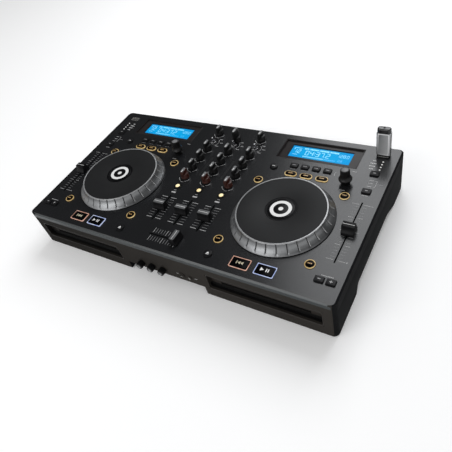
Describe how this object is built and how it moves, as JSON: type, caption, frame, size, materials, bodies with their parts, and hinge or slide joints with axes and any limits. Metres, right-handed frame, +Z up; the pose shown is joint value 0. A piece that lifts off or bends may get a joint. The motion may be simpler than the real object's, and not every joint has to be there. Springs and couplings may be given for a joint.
{
  "type": "dj disc player console",
  "caption": "Wide tabletop console for a DJ: jog wheel decks with displays and front disc slots on either side of a mixer with knobs, faders and lit buttons.",
  "frame": {"origin": "on the table, under the middle of the console", "axes": "+X to the right along the width, +Y to the back, +Z up"},
  "size_m": [0.528, 0.3084, 0.1185],
  "materials": {
    "plate": "satin black paint with a fine texture",
    "case": "textured black plastic",
    "bezel": "semi-gloss black plastic",
    "rubber": "matte black rubber",
    "steel": "plain steel",
    "drive_steel": "zinc-plated sheet steel",
    "board": "green circuit board",
    "control_metal": "plated steel",
    "light_guide": "translucent plastic lit amber",
    "window": "smoked clear pane",
    "lcd": "blue backlit display",
    "socket": "plated steel sockets",
    "jog_silver": "satin silver paint on plastic",
    "touch_dark": "matte charcoal",
    "knob_black": "soft-touch black with a light grey top",
    "knob_red": "soft-touch dark red-brown with a light grey top",
    "cap_black": "black plastic",
    "cap_grey": "black plastic with a light grey top",
    "button_black": "black plastic with light symbols",
    "lit_cream": "translucent plastic lit cream",
    "chrome": "polished chrome",
    "stick_silver": "satin silver"
  },
  "bodies": {
    "console": {"top_plate": "plate", "upper_case": "case", "bottom_case": "case", "rubber_feet": "rubber", "case_screws": "steel", "slot_bezels": "bezel", "disc_drives": "drive_steel", "circuit_boards": "board", "control_bodies": "control_metal", "light_guides": "light_guide", "display_windows": "window", "lcd_panels": "lcd", "connector_sockets": "socket", "jog_bearings": "steel"},
    "jog_left": {"jog_wheel_left": "jog_silver", "touch_plate_left": "touch_dark"},
    "browse_left": {"browse_knob_left": "knob_black"},
    "spindle_left": {"disc_spindle_left": "steel"},
    "roller_left": {"feed_roller_left": "rubber"},
    "pitch_left": {"pitch_fader_cap_left": "cap_black"},
    "buttons_left": {"deck_buttons_left": "button_black"},
    "cue_left": {"cue_button_left": "button_black"},
    "play_left": {"play_button_left": "button_black"},
    "jog_right": {"jog_wheel_right": "jog_silver", "touch_plate_right": "touch_dark"},
    "browse_right": {"browse_knob_right": "knob_black"},
    "spindle_right": {"disc_spindle_right": "steel"},
    "roller_right": {"feed_roller_right": "rubber"},
    "pitch_right": {"pitch_fader_cap_right": "cap_black"},
    "buttons_right": {"deck_buttons_right": "button_black"},
    "cue_right": {"cue_button_right": "button_black"},
    "play_right": {"play_button_right": "button_black"},
    "channel_1": {"channel_fader_cap_1": "cap_grey"},
    "channel_2": {"channel_fader_cap_2": "cap_grey"},
    "channel_3": {"channel_fader_cap_3": "cap_grey"},
    "crossfader": {"crossfader_cap": "cap_grey"},
    "source_1": {"source_switch_lever_1": "chrome"},
    "source_2": {"source_switch_lever_2": "chrome"},
    "source_3": {"source_switch_lever_3": "chrome"},
    "bass_knob_1": {"bass_knob_1": "knob_red"},
    "bass_knob_2": {"bass_knob_2": "knob_red"},
    "bass_knob_3": {"bass_knob_3": "knob_red"},
    "mid_knob_1": {"mid_knob_1": "knob_black"},
    "mid_knob_2": {"mid_knob_2": "knob_black"},
    "mid_knob_3": {"mid_knob_3": "knob_black"},
    "treble_knob_1": {"treble_knob_1": "knob_black"},
    "treble_knob_2": {"treble_knob_2": "knob_black"},
    "treble_knob_3": {"treble_knob_3": "knob_black"},
    "gain_knob_1": {"gain_knob_1": "knob_black"},
    "gain_knob_2": {"gain_knob_2": "knob_black"},
    "gain_knob_3": {"gain_knob_3": "knob_black"},
    "booth_knob": {"booth_knob": "knob_black"},
    "microphone_knob": {"microphone_knob": "knob_black"},
    "master_knob": {"master_knob": "knob_black"},
    "phones_mix_knob": {"phones_mix_knob": "knob_black"},
    "phones_level_knob": {"phones_level_knob": "knob_black"},
    "fader_curve_knob": {"fader_curve_knob": "knob_black"},
    "phones_cue": {"phones_cue_buttons": "lit_cream"},
    "stick": {"usb_flash_drive": "stick_silver"},
    "rocker": {"power_rocker": "button_black"}
  },
  "joints": [
    {"name": "jog_spin_left", "type": "hinge", "parent": "console", "child": "jog_left", "pos_m": [-0.14645, -0.0303, 0.07], "axis": [0, 0, 1], "continuous": true},
    {"name": "browse_turn_left", "type": "hinge", "parent": "console", "child": "browse_left", "pos_m": [-0.08695, 0.056, 0.07], "axis": [0, 0, 1], "continuous": true},
    {"name": "spindle_spin_left", "type": "hinge", "parent": "console", "child": "spindle_left", "pos_m": [-0.1625, -0.06725, 0.0205], "axis": [0, 0, 1], "continuous": true},
    {"name": "roller_spin_left", "type": "hinge", "parent": "console", "child": "roller_left", "pos_m": [-0.1625, -0.12825, 0.0359], "axis": [1, 0, 0], "continuous": true},
    {"name": "pitch_slide_left", "type": "slide", "parent": "console", "child": "pitch_left", "axis": [0, 1, 0], "range_m": [-0.05, 0.05]},
    {"name": "buttons_press_left", "type": "slide", "parent": "console", "child": "buttons_left", "axis": [0, 0, -1], "range_m": [0, 0.0012], "stiffness_N_per_m": 300, "springref_m": -0.002},
    {"name": "cue_press_left", "type": "slide", "parent": "console", "child": "cue_left", "axis": [0, 0, -1], "range_m": [0, 0.0012], "stiffness_N_per_m": 250, "springref_m": -0.002},
    {"name": "play_press_left", "type": "slide", "parent": "console", "child": "play_left", "axis": [0, 0, -1], "range_m": [0, 0.0012], "stiffness_N_per_m": 250, "springref_m": -0.002},
    {"name": "jog_spin_right", "type": "hinge", "parent": "console", "child": "jog_right", "pos_m": [0.14645, -0.0303, 0.07], "axis": [0, 0, 1], "continuous": true},
    {"name": "browse_turn_right", "type": "hinge", "parent": "console", "child": "browse_right", "pos_m": [0.20595, 0.056, 0.07], "axis": [0, 0, 1], "continuous": true},
    {"name": "spindle_spin_right", "type": "hinge", "parent": "console", "child": "spindle_right", "pos_m": [0.1625, -0.06725, 0.0205], "axis": [0, 0, 1], "continuous": true},
    {"name": "roller_spin_right", "type": "hinge", "parent": "console", "child": "roller_right", "pos_m": [0.1625, -0.12825, 0.0359], "axis": [1, 0, 0], "continuous": true},
    {"name": "pitch_slide_right", "type": "slide", "parent": "console", "child": "pitch_right", "axis": [0, 1, 0], "range_m": [-0.05, 0.05]},
    {"name": "buttons_press_right", "type": "slide", "parent": "console", "child": "buttons_right", "axis": [0, 0, -1], "range_m": [0, 0.0012], "stiffness_N_per_m": 300, "springref_m": -0.002},
    {"name": "cue_press_right", "type": "slide", "parent": "console", "child": "cue_right", "axis": [0, 0, -1], "range_m": [0, 0.0012], "stiffness_N_per_m": 250, "springref_m": -0.002},
    {"name": "play_press_right", "type": "slide", "parent": "console", "child": "play_right", "axis": [0, 0, -1], "range_m": [0, 0.0012], "stiffness_N_per_m": 250, "springref_m": -0.002},
    {"name": "channel_slide_1", "type": "slide", "parent": "console", "child": "channel_1", "axis": [0, 1, 0], "range_m": [-0.0225, 0.0225]},
    {"name": "channel_slide_2", "type": "slide", "parent": "console", "child": "channel_2", "axis": [0, 1, 0], "range_m": [-0.0225, 0.0225]},
    {"name": "channel_slide_3", "type": "slide", "parent": "console", "child": "channel_3", "axis": [0, 1, 0], "range_m": [-0.0225, 0.0225]},
    {"name": "crossfader_slide", "type": "slide", "parent": "console", "child": "crossfader", "axis": [1, 0, 0], "range_m": [-0.045, 0]},
    {"name": "source_tilt_1", "type": "hinge", "parent": "console", "child": "source_1", "pos_m": [-0.0404, 0.0975, 0.0712], "axis": [1, 0, 0], "range_deg": [-12, 12]},
    {"name": "source_tilt_2", "type": "hinge", "parent": "console", "child": "source_2", "pos_m": [0, 0.0975, 0.0712], "axis": [1, 0, 0], "range_deg": [-12, 12]},
    {"name": "source_tilt_3", "type": "hinge", "parent": "console", "child": "source_3", "pos_m": [0.0404, 0.0975, 0.0712], "axis": [1, 0, 0], "range_deg": [-12, 12]},
    {"name": "bass_turn_1", "type": "hinge", "parent": "console", "child": "bass_knob_1", "pos_m": [-0.0404, 0.0048, 0.07], "axis": [0, 0, 1], "range_deg": [-150, 150]},
    {"name": "bass_turn_2", "type": "hinge", "parent": "console", "child": "bass_knob_2", "pos_m": [0, 0.0048, 0.07], "axis": [0, 0, 1], "range_deg": [-150, 150]},
    {"name": "bass_turn_3", "type": "hinge", "parent": "console", "child": "bass_knob_3", "pos_m": [0.0404, 0.0048, 0.07], "axis": [0, 0, 1], "range_deg": [-150, 150]},
    {"name": "mid_turn_1", "type": "hinge", "parent": "console", "child": "mid_knob_1", "pos_m": [-0.0404, 0.02923, 0.07], "axis": [0, 0, 1], "range_deg": [-150, 150]},
    {"name": "mid_turn_2", "type": "hinge", "parent": "console", "child": "mid_knob_2", "pos_m": [0, 0.02923, 0.07], "axis": [0, 0, 1], "range_deg": [-150, 150]},
    {"name": "mid_turn_3", "type": "hinge", "parent": "console", "child": "mid_knob_3", "pos_m": [0.0404, 0.02923, 0.07], "axis": [0, 0, 1], "range_deg": [-150, 150]},
    {"name": "treble_turn_1", "type": "hinge", "parent": "console", "child": "treble_knob_1", "pos_m": [-0.0404, 0.05366, 0.07], "axis": [0, 0, 1], "range_deg": [-150, 150]},
    {"name": "treble_turn_2", "type": "hinge", "parent": "console", "child": "treble_knob_2", "pos_m": [0, 0.05366, 0.07], "axis": [0, 0, 1], "range_deg": [-150, 150]},
    {"name": "treble_turn_3", "type": "hinge", "parent": "console", "child": "treble_knob_3", "pos_m": [0.0404, 0.05366, 0.07], "axis": [0, 0, 1], "range_deg": [-150, 150]},
    {"name": "gain_turn_1", "type": "hinge", "parent": "console", "child": "gain_knob_1", "pos_m": [-0.0404, 0.07809, 0.07], "axis": [0, 0, 1], "range_deg": [-150, 150]},
    {"name": "gain_turn_2", "type": "hinge", "parent": "console", "child": "gain_knob_2", "pos_m": [0, 0.07809, 0.07], "axis": [0, 0, 1], "range_deg": [-150, 150]},
    {"name": "gain_turn_3", "type": "hinge", "parent": "console", "child": "gain_knob_3", "pos_m": [0.0404, 0.07809, 0.07], "axis": [0, 0, 1], "range_deg": [-150, 150]},
    {"name": "booth_turn", "type": "hinge", "parent": "console", "child": "booth_knob", "pos_m": [-0.0404, 0.1213, 0.07], "axis": [0, 0, 1], "range_deg": [-150, 150]},
    {"name": "microphone_turn", "type": "hinge", "parent": "console", "child": "microphone_knob", "pos_m": [0, 0.1098, 0.07], "axis": [0, 0, 1], "range_deg": [-150, 150]},
    {"name": "master_turn", "type": "hinge", "parent": "console", "child": "master_knob", "pos_m": [0.0404, 0.1213, 0.07], "axis": [0, 0, 1], "range_deg": [-150, 150]},
    {"name": "phones_mix_turn", "type": "hinge", "parent": "console", "child": "phones_mix_knob", "pos_m": [-0.038, -0.15425, 0.03], "axis": [0, 1, 0], "range_deg": [-150, 150]},
    {"name": "phones_level_turn", "type": "hinge", "parent": "console", "child": "phones_level_knob", "pos_m": [-0.018, -0.15425, 0.03], "axis": [0, 1, 0], "range_deg": [-150, 150]},
    {"name": "fader_curve_turn", "type": "hinge", "parent": "console", "child": "fader_curve_knob", "pos_m": [0.002, -0.15425, 0.03], "axis": [0, 1, 0], "range_deg": [-150, 150]},
    {"name": "phones_cue_press", "type": "slide", "parent": "console", "child": "phones_cue", "axis": [0, 0, -1], "range_m": [0, 0.0012], "stiffness_N_per_m": 250, "springref_m": -0.002},
    {"name": "stick_pull", "type": "slide", "parent": "console", "child": "stick", "axis": [0, 0, 1], "range_m": [0, 0.03]},
    {"name": "rocker_tilt", "type": "hinge", "parent": "console", "child": "rocker", "pos_m": [0.218, 0.14275, 0.034], "axis": [1, 0, 0], "range_deg": [-8.7, 0]}
  ]
}
